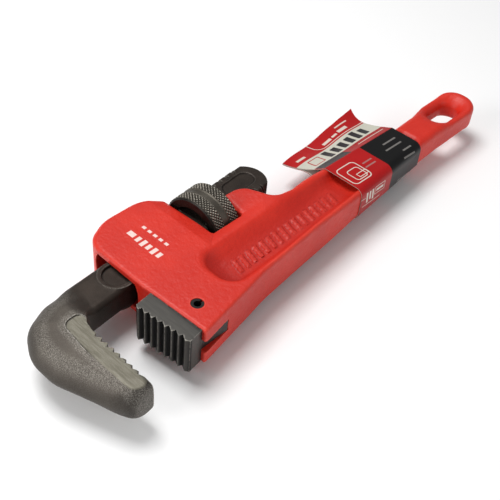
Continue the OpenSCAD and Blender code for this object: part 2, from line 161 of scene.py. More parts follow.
class Paint:
    """A material on one surface shader. Numbers alone go straight on the shader's sockets."""

    def __init__(self, name, **constants):
        """A new material of this name, with its constants set and its Object coordinates at hand."""
        self.material = bpy.data.materials.new(name)
        self.material.use_nodes = True
        self.tree = self.material.node_tree
        self.shader = self.tree.nodes["Principled BSDF"]
        self.finish(**constants)
        self.place = self.node("ShaderNodeTexCoord", out="Object")

    def fill(self, socket, value):
        """Links a Term to the socket, or sets a number, a vector or a colour on it."""
        if isinstance(value, Term):
            self.tree.links.new(value.socket, socket)
        elif socket.type == "RGBA" and len(value) == 3:
            socket.default_value = (*value, 1)
        else:
            socket.default_value = value

    def node(self, kind, settings=None, inputs=None, out=0):
        """Any node: its type, its settings, the values or links of its sockets, and its output."""
        made = self.tree.nodes.new(kind)
        for key, value in (settings or {}).items():
            setattr(made, key, value)
        for key, value in (inputs or {}).items():
            self.fill(made.inputs[key], value)
        return Term(self, made.outputs[out])

    def noise(self, scale, detail=3, roughness=0.5, place=None):
        """Even noise from 0 to 1, scale features to the metre."""
        inputs = {"Vector": place or self.place, "Scale": scale, "Detail": detail, "Roughness": roughness}
        return self.node("ShaderNodeTexNoise", None, inputs)

    def layer(self, name):
        """A number that the mesh holds for each vertex, such as how far it bends."""
        return self.node("ShaderNodeAttribute", {"attribute_name": name}, out=2)

    def spot(self):
        """Object coordinates as design millimetres: less the pin's centre, times a thousand."""
        axes = [self.node("ShaderNodeSeparateXYZ", None, {0: self.place}, out=k) for k in range(3)]
        return [(axis - c) * 1000 for axis, c in zip(axes, pin_centre)]

    def streaks(self, stretch, scale, detail=2):
        """Noise drawn out along the axes with small stretches, as a cutter or a brush leaves it."""
        place = self.node("ShaderNodeVectorMath", {"operation": "MULTIPLY"}, {0: self.place, 1: stretch})
        return self.noise(scale, detail, place=place)

    def mix(self, share, first, second):
        """First where share is 0 and second where it is 1, as colours."""
        return self.node("ShaderNodeMix", {"data_type": "RGBA"}, {0: share, 6: first, 7: second}, out=2)

    def bump(self, height, distance, strength=1.0):
        """Sends a height from 0 to 1 to the surface's normal, as a relief of that distance."""
        inputs = {"Strength": strength, "Distance": distance, "Height": height}
        self.finish(normal=self.node("ShaderNodeBump", None, inputs))

    def finish(self, **looks):
        """Fills the shader's sockets by name, with spaces for underscores."""
        for key, value in looks.items():
            self.fill(self.shader.inputs[key.replace("_", " ").title().replace("Ior", "IOR")], value)


def srgb(red, green, blue):
    """A colour in 0 to 255 as light: the screen's curve undone."""
    c = np.array((red, green, blue)) / 255
    return tuple(np.where(c < 0.04045, c / 12.92, ((c + 0.055) / 1.055) ** 2.4))


def floor():
    """A flat sheet under the wrench: a square grid of corners, evenly spaced both ways."""
    reach, count = 3, 13
    across, along = np.meshgrid(*[np.linspace(-reach, reach, count)] * 2)
    corners = np.stack([across, along, across * 0], 2).reshape(-1, 3)
    k = np.arange(count - 1)[:, None] * count + np.arange(count - 1)
    squares = np.stack([k, k + 1, k + count + 1, k + count], 2).reshape(-1, 4)
    mesh = bpy.data.meshes.new("bench")
    mesh.from_pydata(corners.tolist(), [], squares.tolist())
    bench = bpy.data.objects.new("bench", mesh)
    bpy.context.scene.collection.objects.link(bench)
    paint = Paint("bench_white", roughness=0.8)
    paint.finish(base_color=paint.mix(paint.noise(3), srgb(250, 250, 250), srgb(255, 255, 255)))
    mesh.materials.append(paint.material)
    return bench


floor()

sky = bpy.data.worlds.new("studio")
sky.use_nodes = True
sky.node_tree.nodes["Background"].inputs["Color"].default_value = (1, 1, 1, 1)
sky.node_tree.nodes["Background"].inputs["Strength"].default_value = 0.3
bpy.context.scene.world = sky
bpy.context.scene.view_settings.view_transform = "Standard"

# ---------------------------------------------------------------------------
# Handle and housing. One iron casting in red enamel: a housing with a channel for
# the shank and a window for the nut, an I-beam grip with a long hollow each side,
# and an eye. Its jaw seat, slots and pin hole are cut after casting.
# ---------------------------------------------------------------------------
HANDLE_LENGTH = 181.5
CROWN = 52.4
BODY_HALF = 8.3
WEB_HALF = 3.6
SEAT = 7.1
WINDOW = (29.0, 44.0)
WINDOW_FLOOR = 22.0
EYE = (HANDLE_LENGTH - 16.5, 11.1)
EYE_WIDTH = 17.4
NECK = HANDLE_LENGTH - 36
NECK_WIDTH = 15.2
HANG_SLOT = (18.0, 8.8)
EYE_WEB_HALF = 2.6
RIB = (1.5, 5.8, 0.6)
RIB_SLANT = 1.6
RIB_PITCH = 3.6
RIB_COUNT = 16
RIB_FIRST = (24, 2.8)
RIB_RISE = 0.07
HEEL_TIP = np.array((-15.65, 11.7))
STATIONS = np.array([
    (59, -2.6, 22.9, BODY_HALF),
    (81, -1.4, 20.4, 7.3),
    (NECK - 12, 9.75 - NECK_WIDTH / 2, 9.75 + NECK_WIDTH / 2, 6.2),
    (NECK + 3, 10.25 - NECK_WIDTH / 2, 10.25 + NECK_WIDTH / 2, 6.2),
    (EYE[0] - 7, 0, 0, 6.5),
])
NUT_CENTRE = np.array((36.6, 34.0))
SHANK_LEAN = 4.5
SHANK_HALF = 5.3
THREAD_RADIUS = 9.0
COIL_AT = -26.0
COIL_TOP = -10.3
COIL_LENGTH = 6.5
COIL_POCKET = (2.75, 7.2)
LEAF_GROOVE = (15.6, 10.9, 4.3)
CHANNEL_RADIUS = 10.2
CHANNEL_HALF = SHANK_HALF + 0.35
NUT_HOLLOW = 14.2
TANG_SLOT_HALF = 2.75
PIN_HOLE = 2.35
ROCK_OPEN = radians(3.5)
CASTING_STEP = 0.5


def rounded(corners, pace=7):
    """Corner points (x, y, radius) to an outline: each corner becomes an arc tangent to its sides."""
    outline = []
    p = np.array(corners, float)
    for before, (x, y, radius), after in zip(np.roll(p, 1, 0), p, np.roll(p, -1, 0)):
        here = np.array((x, y))
        u, v = before[:2] - here, after[:2] - here
        u, v = u / np.linalg.norm(u), v / np.linalg.norm(v)
        half = np.arccos(np.clip(u @ v, -1, 1)) / 2
        turn = pi / 2 - half
        if radius == 0 or turn < 0.01:
            outline.append(here)
            continue
        middle = (u + v) / np.linalg.norm(u + v)
        side = np.sign(u[1] * v[0] - u[0] * v[1])
        steps = max(3, int(np.degrees(turn) / pace) + 1)
        t = side * turn * np.linspace(-1, 1, 2 * steps + 1)
        spokes = np.stack([middle[0] * np.cos(t) - middle[1] * np.sin(t),
                           middle[0] * np.sin(t) + middle[1] * np.cos(t)], 1)
        outline += list(here + middle * radius / sin(half) - radius * spokes)
    return np.array(outline)


def outline_distance(outline, x, y):
    """Distance from (x, y) to the nearest side of the outline, negative inside by even-odd crossings."""
    near = np.full(np.broadcast(x, y).shape, 1e9)
    inside = np.zeros(near.shape, bool)
    for (ax, ay), (bx, by) in zip(outline, np.roll(outline, -1, 0)):
        ex, ey = bx - ax, by - ay
        share = np.clip(((x - ax) * ex + (y - ay) * ey) / max(ex * ex + ey * ey, 1e-12), 0, 1)
        near = np.minimum(near, (x - ax - share * ex) ** 2 + (y - ay - share * ey) ** 2)
        if ay != by:
            inside ^= ((ay > y) != (by > y)) & (x < ax + (y - ay) * ex / ey)
    return np.where(inside, -1, 1) * np.sqrt(near)


def joined(a, b, blend):
    """Union of two fields with a fillet of about blend: the smaller, lowered where they meet."""
    h = np.clip(0.5 + 0.5 * (b - a) / blend, 0, 1)
    return b + (a - b) * h - blend * h * (1 - h)


def cut(a, tool, blend):
    """Field a less the tool's, with the edge between them rounded by about blend."""
    return -joined(-a, tool, blend)


def slab(flat, z, half, edge):
    """An outline's distance made a plate of that half thickness, its rims rounded by edge."""
    u = flat + edge
    v = np.abs(z) - half + edge
    return np.minimum(np.maximum(u, v), 0) + np.hypot(np.maximum(u, 0), np.maximum(v, 0)) - edge


def stadium(x, y, length, width):
    """Distance from a slot with round ends, centred at nought and lying along x."""
    run = (length - width) / 2
    return np.hypot(np.maximum(np.abs(x) - run, 0), y) - width / 2


def along_shank(x, y):
    """Coordinates along and across the leaning shank, from the nut's centre: (x, y) turned back by
    the lean."""
    lean = radians(SHANK_LEAN)
    dx, dy = x - NUT_CENTRE[0], y - NUT_CENTRE[1]
    return dx * cos(lean) + dy * sin(lean), dy * cos(lean) - dx * sin(lean)


def skin(name, field, low, high, step):
    """The surface where the field is nought, with its sharp edges kept: one vertex in each cell that
    it crosses, where the planes that touch the surface at the cell's crossings come nearest to meeting."""
    axes = [np.arange(a, b + step, step) for a, b in zip(low, high)]
    value = field(axes[0][:, None, None], axes[1][None, :, None], axes[2][None, None, :])
    cells = np.array(value.shape) - 1
    spots, rings = [], []
    for axis in range(3):
        u, v = (axis + 1) % 3, (axis + 2) % 3
        head, tail = [slice(None)] * 3, [slice(None)] * 3
        head[axis], tail[axis] = slice(0, -1), slice(1, None)
        at = np.argwhere((value[tuple(head)] < 0) != (value[tuple(tail)] < 0))
        at = at[(at[:, [u, v]] > 0).all(1) & (at[:, [u, v]] < cells[[u, v]]).all(1)]
        beyond = at.copy()
        beyond[:, axis] += 1
        f0, f1 = value[tuple(at.T)], value[tuple(beyond.T)]
        share = f0 / (f0 - f1)
        for _ in range(2):
            spot = np.stack([axes[k][at[:, k]] for k in range(3)], 1)
            spot[:, axis] += share * step
            share = np.clip(share - field(*spot.T) / (f1 - f0), 0, 1)
        spot[:, axis] = axes[axis][at[:, axis]] + share * step
        ring = []
        for du, dv in ((1, 1), (0, 1), (0, 0), (1, 0)):
            cell = at.copy()
            cell[:, u] -= du
            cell[:, v] -= dv
            ring.append(np.ravel_multi_index(tuple(cell.T), tuple(cells)))
        ring = np.stack(ring, 1)
        ring[f0 > 0] = ring[f0 > 0, ::-1]
        spots.append(spot)
        rings.append(ring)
    spot, ring = np.concatenate(spots), np.concatenate(rings)
    nudge = 0.02
    slope = np.stack([field(*(spot + nudge * way).T) - field(*(spot - nudge * way).T)
                      for way in np.eye(3)], 1)
    slope /= np.linalg.norm(slope, axis=1, keepdims=True) + 1e-9
    used, number = np.unique(ring, return_inverse=True)
    number = number.reshape(-1, 4)

    def gathered(amount):
        """Each cell's sum of an amount that its crossings hold, a crossing counting in four cells."""
        return np.bincount(number.ravel(), np.repeat(amount, 4), len(used))

    middle = np.stack([gathered(spot[:, k]) for k in range(3)], 1) / gathered(np.ones(len(spot)))[:, None]
    reach = (slope * spot).sum(1)
    planes = np.stack([gathered(slope[:, i] * slope[:, j]) for i in range(3) for j in range(3)], 1)
    planes = planes.reshape(-1, 3, 3)
    pull = np.stack([gathered(slope[:, i] * reach) for i in range(3)], 1)
    pull -= np.einsum("nij,nj->ni", planes, middle)
    shift = np.linalg.solve(planes + 0.06 * np.eye(3), pull[:, :, None])[:, :, 0]
    corner = np.stack(np.unravel_index(used, tuple(cells)), 1) * step + np.array([a[0] for a in axes])
    points = np.clip(middle + shift, corner, corner + step)
    reach = 0.45
    bend = sum(field(*(points + side * reach * way).T) for way in np.eye(3) for side in (1, -1))
    piece = surface(name, points, number)
    layer(piece, "bend", (bend - 6 * field(*points.T)) / reach ** 2)
    return piece


def layer(piece, name, values):
    """Writes one number for each vertex under a name that a material can read."""
    made = piece.data.attributes.new(name, "FLOAT", "POINT")
    made.data.foreach_set("value", np.asarray(values, np.float32))


def design_points(piece):
    """A piece's vertices in design millimetres: its corners less the pin's centre, times a thousand."""
    flat = np.empty(len(piece.data.vertices) * 3)
    piece.data.vertices.foreach_get("co", flat)
    return (flat.reshape(-1, 3) - pin_centre) * 1000


def surface(name, points, faces, crease=34):
    """A mesh piece from design points and faces: smooth shaded, with edges past crease left sharp."""
    mesh = bpy.data.meshes.new(name)
    mesh.from_pydata(placed(points).tolist(), [], np.asarray(faces).tolist())
    mesh.validate()
    mesh.polygons.foreach_set("use_smooth", np.ones(len(mesh.polygons), bool))
    mesh.set_sharp_from_angle(angle=radians(crease))
    piece = bpy.data.objects.new(name, mesh)
    bpy.context.scene.collection.objects.link(piece)
    return piece


body_outline = rounded([
    (-SEAT - 0.9, HEEL_TIP[1] + 6.3, 0.3), (-SEAT - 0.6, HEEL_TIP[1] + 3.7, 0.3),
    (-SEAT + 0.6, -10.8, 1), (WINDOW[0], -4.9, 60),
    (*STATIONS[0, :2], 60), (*STATIONS[1, :2], 60), (*STATIONS[2, :2], 30),
    (*STATIONS[3, :2], 8), (EYE[0] - 8, EYE[1] - EYE_WIDTH / 2, 10),
    (HANDLE_LENGTH, EYE[1] - EYE_WIDTH / 2, EYE_WIDTH / 2 - 0.6),
    (HANDLE_LENGTH, EYE[1] + EYE_WIDTH / 2, EYE_WIDTH / 2 - 0.6),
    (EYE[0] - 6, EYE[1] + EYE_WIDTH / 2, 12),
    (STATIONS[3, 0], STATIONS[3, 2], 10), (STATIONS[2, 0], STATIONS[2, 2], 40),
    (STATIONS[1, 0], STATIONS[1, 2], 60), (69, 18.9, 12), (60.5, 20.2, 6), (55.2, 33.4, 8),
    (WINDOW[1] + 2.4, WINDOW_FLOOR + 12.2, 0.6), (WINDOW[1], WINDOW_FLOOR, 0.8),
    (WINDOW[0], WINDOW_FLOOR, 0.8), (WINDOW[0], CROWN - 5.5, 3), (20.5, CROWN, 16),
    (3, CROWN, 16), (-SEAT - 0.4, CROWN - 5.6, 10),
])

recess_outline = rounded([
    (13.6, -3, 8), (40, -2.6, 40), (STATIONS[2, 0] + 2, STATIONS[2, 1] + 2.6, 3),
    (STATIONS[2, 0] + 2, STATIONS[2, 2] - 2.6, 3), (81, STATIONS[1, 2] - 3.6, 40),
    (40, 16.8, 40), (13.6, 16, 8),
])


def casting_blank(x, y, z):
    """The outline's plate, thinner by the nut, less each side's hollow, whose walls lean out by the
    slope gentle, plus the slanted ribs that stand on the web at one pitch."""
    flat = outline_distance(body_outline, x, y)
    half = np.interp(x, STATIONS[:, 0], STATIONS[:, 3])
    bevel = np.minimum(np.clip((x - 22.6) / 6.4, 0, 1), np.clip((y - 16.5) / 5, 0, 1))
    half = half - 1.3 * bevel * np.clip((58 - x) / 14, 0, 1)
    crown = np.clip((y - 30) / 12, 0, 1) * np.clip((x + 9) / 8, 0, 1)
    rim = 1.2 + 1.4 * crown + 0.8 * np.clip((x - 20) / 30, 0, 1)
    rim = rim + 1.0 * np.clip((x - 72) / 14, 0, 1) + 0.6 * np.clip((x - NECK) / 10, 0, 1)
    body = slab(flat, z, half, rim)
    hollow = outline_distance(recess_outline, x, y)
    gentle = np.clip((y - 1) / 8, 0, 1) * np.clip((90 - x) / 30, 0, 1)
    gentle = 0.5 + 0.8 * gentle * np.clip((x - 8) / 18, 0.2, 1)
    walls = (hollow + (half - np.abs(z)) * gentle) / np.hypot(1, gentle)
    body = cut(body, -joined(-walls, np.abs(z) - WEB_HALF, 3.0), 1.3)
    k = np.clip(np.floor((x - RIB_FIRST[0]) / RIB_PITCH), 0, RIB_COUNT - 1)
    up = y - RIB_FIRST[1] - RIB_RISE * k
    off = x - RIB_FIRST[0] - k * RIB_PITCH - (RIB[0] + RIB_SLANT * up / RIB[1] * 2) / 2
    rib = np.maximum(np.abs(off) - RIB[0] / 2, np.abs(up - RIB[1] / 2) - RIB[1] / 2)
    return joined(body, np.maximum(rib, np.abs(z) - WEB_HALF - RIB[2]), 0.5)


def shank_rooms(x, y, z):
    """What the shank, the nut and the springs need, each a signed distance with the blend of its
    edge: a flared channel, a round hollow in the window, and a groove with a round pocket."""
    along, true_across = along_shank(x, y)
    across = true_across - np.clip(tan(ROCK_OPEN) * -along, 0, 3) * 0.5
    bore = np.hypot(np.maximum(np.abs(across) - 1.3, 0), z) - CHANNEL_RADIUS
    bore = np.maximum(bore, np.abs(z) - CHANNEL_HALF)
    over = np.maximum(np.abs(z) - CHANNEL_HALF, np.maximum(-across, WINDOW[1] - 2 - x))
    window = np.maximum(WINDOW[0] - x, x - WINDOW[1] - 0.6)
    hollow_nut = np.maximum(np.hypot(across, z) - NUT_HOLLOW, window)
    reach, under, side = LEAF_GROOVE
    groove = np.maximum(-under - true_across, np.abs(z) - side)
    groove = np.maximum(np.abs(along - COIL_AT) - reach, groove)
    radius, depth = COIL_POCKET
    pocket = np.maximum(np.hypot(along - COIL_AT, z) - radius, COIL_TOP - depth - true_across)
    springs = np.maximum(np.minimum(groove, pocket), true_across + 4)
    return (np.minimum(bore, over), 0.5), (hollow_nut, 0.4), (springs, 0.3)


def casting_field(x, y, z):
    """The casting as a signed distance: its blank less the shank's rooms, the tang's slot, the pin's
    hole and the eye, a slot with a dished rim."""
    body = casting_blank(x, y, z)
    for room, blend in shank_rooms(x, y, z):
        body = cut(body, room, blend)
    tang = np.maximum(np.abs(z) - TANG_SLOT_HALF, np.maximum(x - 6.5, y - HEEL_TIP[1] - 0.6))
    body = cut(body, tang, 0.25)
    body = cut(body, np.hypot(x, y) - PIN_HOLE, 0.2)
    slot = stadium(x - EYE[0] + 0.6, y - EYE[1], *HANG_SLOT)
    dish = (slot - (np.abs(z) - EYE_WEB_HALF) * 0.9) / 1.35
    body = cut(body, np.maximum(dish, EYE_WEB_HALF - np.abs(z)), 3.0)
    return cut(body, slot, 1.2)


handle = skin("handle_casting", casting_field, (-11, -13, -9.25), (183.5, 54, 9.25), CASTING_STEP)
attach(handle, "handle")
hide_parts("handle_body")

enamel = Paint("red_enamel", specular_ior_level=0.4)
mottle = enamel.noise(60, 4)
orange_peel = enamel.noise(900, 2)
cast = enamel.noise(420, 4, 0.65)
bend = enamel.layer("bend")
x, y, z = enamel.spot()


def printed_bar(cx, cy, half_x, half_y, turn):
    """1 inside a small box printed on the top cheek: both turned distances from its centre are less
    than its half sizes."""
    east = (x - cx) * cos(turn) + (y - cy) * sin(turn)
    north = (y - cy) * cos(turn) - (x - cx) * sin(turn)
    away = (abs(east) - half_x).either(abs(north) - half_y)
    return away.rise(0.12, -0.12)


PRINT_TURN = radians(-90)
print_row = printed_bar(6.1, 39.4, 1.6, 1.1, PRINT_TURN)
for step in range(5):
    tall = printed_bar(6.0, 35.8 - 2.7 * step, 0.8, 1.3 + 0.35 * (step % 2), PRINT_TURN)
    short = printed_bar(11.6, 39.0 - 2.9 * step, 0.8, 0.6, PRINT_TURN)
    print_row = print_row.either(tall).either(short)
coat = enamel.mix(mottle.rise(0.3, 0.7), srgb(199, 36, 21), srgb(211, 44, 27))
# Painted highlight: a lighter red where the casting's surface bends out at its edges. Painted shade: a
# darker red in its concave creases.
coat = enamel.mix(bend.rise(0.3, 1.4) * 0.28, coat, srgb(236, 86, 68))
coat = enamel.mix(bend.rise(-0.2, -1.2) * 0.5, coat, srgb(150, 20, 16))
# Painted shade in the grip's long hollow, and darker still on the steep wall at its near end.
recess_shade = abs(z).rise(7.2, 4.2) * x.rise(14, 20) * x.rise(90, 84) * y.rise(-2, 0) * y.rise(18, 16)
coat = enamel.mix(recess_shade * 0.45, coat, srgb(160, 22, 14))
end_wall_shade = abs(z).rise(8.1, 6.6) * x.rise(12.5, 14) * x.rise(26, 17) * y.rise(-4, -2) * y.rise(18, 16)
coat = enamel.mix(end_wall_shade * 0.5, coat, srgb(150, 16, 10))
coat = enamel.mix(print_row * z.rise(7, 7.5) * (0.75 + 0.2 * cast), coat, srgb(240, 225, 218))
enamel.finish(base_color=coat, roughness=0.34 + 0.2 * cast)
enamel.bump(cast * 0.75 + orange_peel * 0.25, 0.0004, 0.8)
handle.data.materials.append(enamel.material)

# ---------------------------------------------------------------------------
# Heel jaw. A hardened steel block with milled teeth and a tang that sits in the
# housing's slot.
# ---------------------------------------------------------------------------
TOOTH_PITCH = 2.88
TOOTH_DEPTH = 1.39
TOOTH_LEAN = 0.3
HEEL_TEETH = 8
HEEL_TILT = radians(6)
HEEL_HEAD = 8.2
HEEL_OVER = 1.6
SEAT_GAP = 0.05
JAW_HALF = 7.75
TANG_HALF = 2.6
heel_down = np.array((sin(HEEL_TILT), -cos(HEEL_TILT)))
heel_back = np.array((cos(HEEL_TILT), sin(HEEL_TILT)))


def toothed(start, down, back, teeth):
    """Tips a pitch apart from start, with a valley a lean behind each and a depth in."""
    k = np.arange(teeth)[:, None]
    tips = start + down * k * TOOTH_PITCH
    valleys = start + down * (k + TOOTH_LEAN) * TOOTH_PITCH + back * TOOTH_DEPTH
    return np.stack([tips, valleys], 1).reshape(-1, 2)[:-1]


seat_line = ((-10.8, HEEL_TIP[1] + 3.7), (-SEAT + 0.6, -SEAT - 0.6))


def on_seat(point):
    """The spot on the housing's seat straight behind a point of the row: the seat's x at the height
    that the head's tilt lifts the point to."""
    y = point[1] + HEEL_HEAD * sin(HEEL_TILT)
    return np.interp(y, *seat_line) - SEAT_GAP, y


first = HEEL_TIP - heel_down * HEEL_OVER
last = HEEL_TIP + heel_down * ((HEEL_TEETH - 1) * TOOTH_PITCH + HEEL_OVER)
heel_outline = np.vstack([
    on_seat(first), first + heel_back * TOOTH_DEPTH * 0.8,
    toothed(HEEL_TIP, heel_down, heel_back, HEEL_TEETH),
    last + heel_back * TOOTH_DEPTH * 0.5, on_seat(last)])


def heel_field(x, y, z):
    """The toothed block joined to its tang, less the pin's hole."""
    block = slab(outline_distance(heel_outline, x, y), z, JAW_HALF, 0.15)
    tang = np.maximum(np.maximum(-9 - x, x - 6), np.maximum(-8.6 - y, y - HEEL_TIP[1]))
    tang = slab(tang, z, TANG_HALF, 0.15)
    return cut(np.minimum(block, tang), np.hypot(x, y) - 2.4, 0.1)


heel = skin("heel_jaw_block", heel_field, (-17, -12, -8.4), (8, 15.5, 8.4), 0.3)
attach(heel, "handle")
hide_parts("heel_jaw")

hardened = Paint("hardened_steel", metallic=0.75)
x, y, z = hardened.spot()
grain = hardened.noise(900, 3)
milling = hardened.streaks((1, 0.08, 1), 1500)
into = (x - HEEL_TIP[0]) * heel_back[0] + (y - HEEL_TIP[1]) * heel_back[1]
steel = hardened.mix(milling.rise(0.2, 0.8), srgb(74, 72, 69), srgb(84, 82, 78))
# Painted shade in the tooth valleys: below the top face the flanks darken from the tips to near black deep
# in each valley.
flank_shade = hardened.mix(into.rise(0.05, 0.9), srgb(66, 62, 59), srgb(14, 13, 12))
steel = hardened.mix(into.rise(1.75, 1.45) * abs(z).rise(7.72, 7.62), steel, flank_shade)
# Convex edges lighter: wear, together with a painted highlight.
edge_wear_and_highlight = hardened.layer("bend").rise(1.4, 3.4) * grain.rise(0.3, 0.6) * 0.7
steel = hardened.mix(edge_wear_and_highlight, steel, srgb(140, 136, 128))
# Painted shade on the tang, where it sits inside the housing's slot.
steel = hardened.mix(x.rise(-9, -7) * 0.6, steel, srgb(34, 32, 31))
hardened.finish(base_color=steel, roughness=0.34 + 0.2 * grain)
hardened.bump(grain * 0.5 + milling * 0.5, 0.00004, 0.6)
heel.data.materials.append(hardened.material)

# ---------------------------------------------------------------------------
# Hook jaw. One steel forging: a hook with a milled toothed face, a flat shank with
# a stamped ring, and a threaded end whose crests are left on its two edges only.
# ---------------------------------------------------------------------------
HOOK_TEETH = 9
HOOK_TIP = np.array((HEEL_TIP[0] - 15.8, HEEL_TIP[1] + 1.6))
HOOK_LOW = HOOK_TIP[1] - (HOOK_TEETH - 1) * TOOTH_PITCH - 4.2
HOOK_OUTER = HOOK_TIP[0] - 18.8
SHANK_WIDTH = 14.4
THREAD_START = -19.3
THREAD_LENGTH = 46
THREAD_PITCH = 4
THREAD_DEPTH = 1.5
SHANK_REAR = THREAD_START + THREAD_LENGTH + 6.4
PANEL = (15.4, 7.4)
PANEL_DEPTH = 0.5
RING_AT = (-45.8, -0.6)
MILLED_DEPTH = 0.45
FORGING_STEP = 0.4


def shank_edge(x, side):
    """Height of the shank's upper or lower edge at x: the nut's centre, less the lean's fall to x,
    plus or less half the shank's width."""
    return NUT_CENTRE[1] - (NUT_CENTRE[0] - x) * tan(radians(SHANK_LEAN)) + side * SHANK_WIDTH / 2


back_outline = rounded([
    (19, shank_edge(19, 1), 0), (-36, 36.1, 12), (-44.9, 32.3, 10), (HOOK_OUTER, 23, 16),
    (HOOK_OUTER, 12, 14), (HOOK_OUTER + 6.6, -7.2, 12), (HOOK_OUTER + 20, -36, 0),
    (HOOK_TIP[0] + 12, -36, 0), (HOOK_TIP[0] + 12, 5, 0), (19, 5, 0),
])
hook_row = toothed(HOOK_TIP, np.array((0, -1)), np.array((-1, 0)), HOOK_TEETH)[::-1]
inner_outline = rounded([
    (-70, 60, 0), (-70, -30, 0), (HOOK_TIP[0] - 0.2, -30, 0), (HOOK_TIP[0] - 0.2, HOOK_LOW + 0.6, 0),
    *np.c_[hook_row, np.zeros(len(hook_row))],
    (HOOK_TIP[0] - 0.3, HOOK_TIP[1] + 1.2, 0.5), (HOOK_TIP[0] + 0.6, HOOK_TIP[1] + 5.4, 4),
    (HOOK_TIP[0] + 3.2, HOOK_TIP[1] + 8.6, 3), (19, shank_edge(19, -1), 0), (19, 60, 0),
])
milled_outline = rounded([
    (-29.9, 23.3, 2.6), (-37.0, 23.0, 3.2), (-38.3, 11, 12), (-38.4, -5, 16), (-38.2, -11, 2),
    (-36.4, -13.6, 1), (-30, -13.0, 0), (-24, -12, 0), (-24, 17, 0), (-29.9, 17.5, 2),
])


def shank_share(x, y):
    """0 on the hook and 1 on the shank, with a smooth step between: three times the square less twice
    the cube of the way across a slanted band."""
    sharp = np.clip((29 - y) / 7, 0, 1)
    fall = np.clip((x + 33.0 - 1.6 * sharp - 0.1 * (y - 21)) / (9.5 - 3 * sharp), 0, 1)
    return fall * fall * (3 - 2 * fall)


def hook_swell(x, y, z, fall, half):
    """The outline's bar with an oval edge: powers of the run in from the edge and of the lift to the
    cheek add up to one. It has a low end, a ridge round its back and a milled face."""
    depth = -outline_distance(back_outline, x, y)
    edge = 12.0 - 5.5 * np.clip((y - 20) / 14, 0, 1) - 6.0 * np.clip((3 - y) / 12, 0, 1) ** 1.4
    edge = edge + (3.0 - edge) * fall
    drop = half - (half - 3.0) * fall
    run = np.clip((edge - depth) / edge, 0, 9)
    lift = np.maximum(np.abs(z) - half + drop, 0) / drop
    oval = 1.8 + 0.5 * fall
    hook = ((run ** oval + lift ** oval) ** (1 / oval) - 1) * np.minimum(edge, drop)
    hook = np.maximum(hook, np.abs(z) - half)
    low = HOOK_LOW - y + 0.012 * z * z
    hook = -joined(-hook, -low, 2.5)
    ridge = np.maximum(np.maximum(np.abs(z) - 0.7, 0.4 - depth), low + 1.5)
    hook = joined(hook, np.maximum(ridge, 6 * fall - 3), 0.5)
    milled = np.maximum(outline_distance(milled_outline, x, y), JAW_HALF - MILLED_DEPTH - np.abs(z))
    return cut(hook, milled, 0.25)


def threaded_end(along, across, z):
    """A round bar whose radius gains a clipped triangle wave, one a pitch and a turn, then cut to the
    shank's two flats and stamped with a long panel."""
    radius = np.hypot(across, z)
    turn = np.arctan2(z, across) / (2 * pi)
    phase = ((along - THREAD_START) / THREAD_PITCH - turn) % 1
    crest = np.clip(2.9 - np.abs(phase - 0.5) * 6.4, 0, 1)
    fade = np.clip((THREAD_START + THREAD_LENGTH - along) / 1.2, 0, 1)
    thread = (radius - (THREAD_RADIUS - THREAD_DEPTH) - THREAD_DEPTH * crest * fade
              - 1.2 * (1 - fade)) * 0.8
    tail = np.hypot(np.maximum(along - SHANK_REAR + 9, 0), across * 1.02) - 9.2
    thread = np.maximum(thread, np.maximum(THREAD_START - along, tail))
    dent = stadium(along - THREAD_START - THREAD_LENGTH + 5.5, across - 0.6, *PANEL)
    dent = np.maximum(dent, SHANK_HALF - PANEL_DEPTH - np.abs(z))
    thread = -joined(-thread, SHANK_HALF - np.abs(z), 0.4)
    return cut(thread, dent, 0.6)


def forging_field(x, y, z):
    """The forging as a signed distance: the hook's swell inside the toothed outline, joined with the
    threaded end and the stamped ring, less the ring's cup."""
    fall = shank_share(x, y)
    half = JAW_HALF + (SHANK_HALF - JAW_HALF) * fall
    inner = slab(outline_distance(inner_outline, x, y), z, half + 0.01, 0.1 + 1.9 * fall)
    whole = np.maximum(hook_swell(x, y, z, fall, half), inner)
    along, across = along_shank(x, y)
    whole = np.maximum(whole, along - THREAD_START - 1)
    whole = joined(whole, threaded_end(along, across, z), 0.6)
    from_centre = np.hypot(along - RING_AT[0], across - RING_AT[1])
    ring = np.abs(from_centre - 5.9) - 0.7
    whole = joined(whole, np.maximum(ring, np.abs(z) - SHANK_HALF - 0.1), 0.9)
    cup = np.maximum(from_centre - 5.0, SHANK_HALF - 0.8 - np.abs(z))
    return cut(whole, cup, 0.9)


hook = skin("hook_jaw_forging", forging_field, (-53, -16, -9.2), (72.5, 48, 9.2), FORGING_STEP)
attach(hook, "hook")
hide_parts("hook_jaw")

spots = design_points(hook)
from_flat = outline_distance(milled_outline, spots[:, 0], spots[:, 1])
layer(hook, "milled", (from_flat < -0.1) & (np.abs(spots[:, 2]) > 7.0))
layer(hook, "from_flat", from_flat)
layer(hook, "from_back", -outline_distance(back_outline, spots[:, 0], spots[:, 1]))

forged = Paint("forged_steel", metallic=0.75)
x, y, z = forged.spot()
scale_skin = forged.noise(3000, 5, 0.7)
pits = forged.noise(3200, 2)
patches = forged.noise(110, 5, 0.65)
milling = forged.streaks((1, 0.12, 1), 1800)
bend = forged.layer("bend")
head = x.rise(-22, -33)
# Painted highlight: bright grains in a band along the ridge 4.6 mm in from the back and along the step
# round the milled face; the rest of the head keeps fewer bright grains of wear.
ridge_highlight = forged.layer("from_back").tick(4.6, 0.8, 2.6)
ridge_highlight = ridge_highlight.either(forged.layer("from_flat").tick(0.9, 0.4, 1.8))
wear_and_highlight = head * (0.1 + 0.45 * ridge_highlight) * scale_skin.rise(0.4, 0.66)
steel = forged.mix(patches.rise(0.3, 0.7), srgb(46, 39, 34), srgb(60, 52, 46))
steel = forged.mix(head, steel, forged.mix(patches.rise(0.3, 0.7), srgb(74, 68, 62), srgb(84, 78, 71)))
